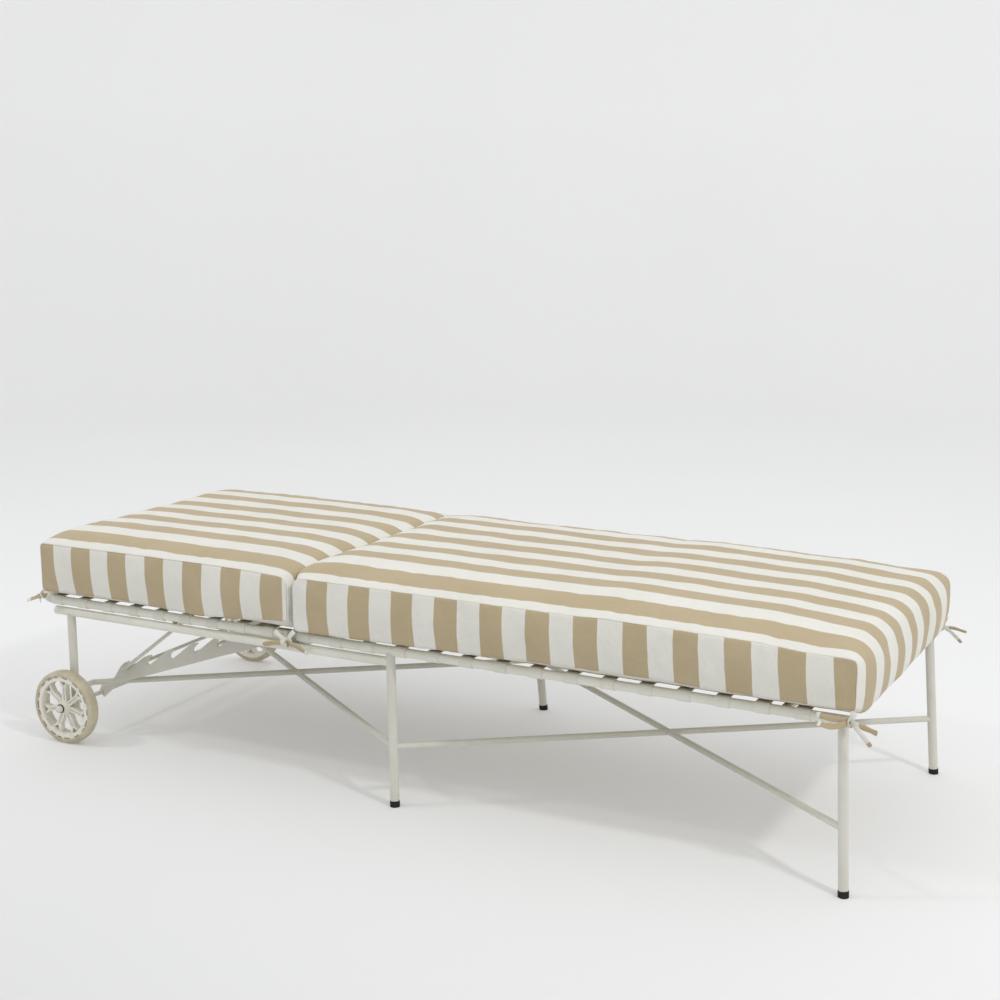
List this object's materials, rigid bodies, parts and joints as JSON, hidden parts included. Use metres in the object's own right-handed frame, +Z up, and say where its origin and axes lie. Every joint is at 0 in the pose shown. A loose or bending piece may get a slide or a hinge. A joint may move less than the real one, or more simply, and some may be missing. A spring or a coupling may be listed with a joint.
{
  "type": "reclining sun lounger",
  "caption": "Low garden sun lounger: welded tube frame on two wheels, strap deck, ratchet backrest with prop bar and rack, and striped box cushions tied on.",
  "frame": {"origin": "on the floor under the middle of the lounger", "axes": "+X towards the foot end, +Y towards the sitter's left when lying with the head at -X, +Z up"},
  "size_m": [1.9037, 0.7782, 0.468],
  "materials": {
    "frame_paint": "cream powder coat, satin, lightly worn",
    "strap": "off-white extruded strap, satin",
    "wheel_plastic": "moulded cream plastic",
    "tyre_rubber": "beige rubber, matte",
    "black_rubber": "black rubber, matte",
    "black_plastic": "dark moulded plastic",
    "cushion_cloth": "woven outdoor canvas in tan and white stripes"
  },
  "bodies": {
    "base": {"base_rail_right": "frame_paint", "base_rail_left": "frame_paint", "seat_rail_right": "frame_paint", "seat_rail_left": "frame_paint", "foot_cross_tube": "frame_paint", "seat_cross_tube": "frame_paint", "rack_cross_tube": "frame_paint", "foot_leg_right": "frame_paint", "foot_leg_left": "frame_paint", "mid_leg_right": "frame_paint", "mid_leg_left": "frame_paint", "head_leg_right": "frame_paint", "head_leg_left": "frame_paint", "foot_cap_front_right": "black_rubber", "foot_cap_front_left": "black_rubber", "foot_cap_mid_right": "black_rubber", "foot_cap_mid_left": "black_rubber", "foot_stretcher_a": "frame_paint", "foot_stretcher_b": "frame_paint", "head_stretcher_a": "frame_paint", "head_stretcher_b": "frame_paint", "rack_right": "frame_paint", "rack_left": "frame_paint", "hinge_plate_right": "frame_paint", "hinge_plate_left": "frame_paint", "hinge_pin_right": "frame_paint", "hinge_pin_left": "frame_paint", "seat_straps": "strap", "axle_rod": "frame_paint", "axle_nuts": "frame_paint", "wheel_washers": "black_plastic", "seat_cushion": "cushion_cloth", "fold_tie_right": "cushion_cloth", "fold_tie_left": "cushion_cloth", "foot_tie_right": "cushion_cloth", "foot_tie_left": "cushion_cloth"},
    "wheel_right": {"wheel_rim_right": "wheel_plastic", "tyre_right": "tyre_rubber", "hub_bush_right": "black_plastic"},
    "wheel_left": {"wheel_rim_left": "wheel_plastic", "tyre_left": "tyre_rubber", "hub_bush_left": "black_plastic"},
    "backrest": {"back_rail_right": "frame_paint", "back_rail_left": "frame_paint", "back_head_tube": "frame_paint", "back_cross_tube": "frame_paint", "back_hinge_plate_right": "frame_paint", "back_hinge_plate_left": "frame_paint", "prop_bracket_right": "frame_paint", "prop_bracket_left": "frame_paint", "back_straps": "strap", "back_cushion": "cushion_cloth", "head_tie_right": "cushion_cloth", "head_tie_left": "cushion_cloth"},
    "prop": {"prop_arm_right": "frame_paint", "prop_arm_left": "frame_paint", "prop_cross_rod": "frame_paint"}
  },
  "joints": [
    {"name": "backrest_recline", "type": "hinge", "parent": "base", "child": "backrest", "pos_m": [-0.248, 0, 0.322], "axis": [0, 1, 0], "range_deg": [0, 37]},
    {"name": "prop_swing", "type": "hinge", "parent": "backrest", "child": "prop", "pos_m": [-0.56748, 0, 0.311], "axis": [0, 1, 0], "range_deg": [-70, 0]},
    {"name": "wheel_spin_right", "type": "hinge", "parent": "base", "child": "wheel_right", "pos_m": [-0.853, -0.356, 0.084], "axis": [0, 1, 0], "continuous": true},
    {"name": "wheel_spin_left", "type": "hinge", "parent": "base", "child": "wheel_left", "pos_m": [-0.853, 0.356, 0.084], "axis": [0, 1, 0], "continuous": true}
  ],
  "couplings": [
    {"joint": "prop_swing", "follows": "backrest_recline", "ratio": -1.88}
  ]
}
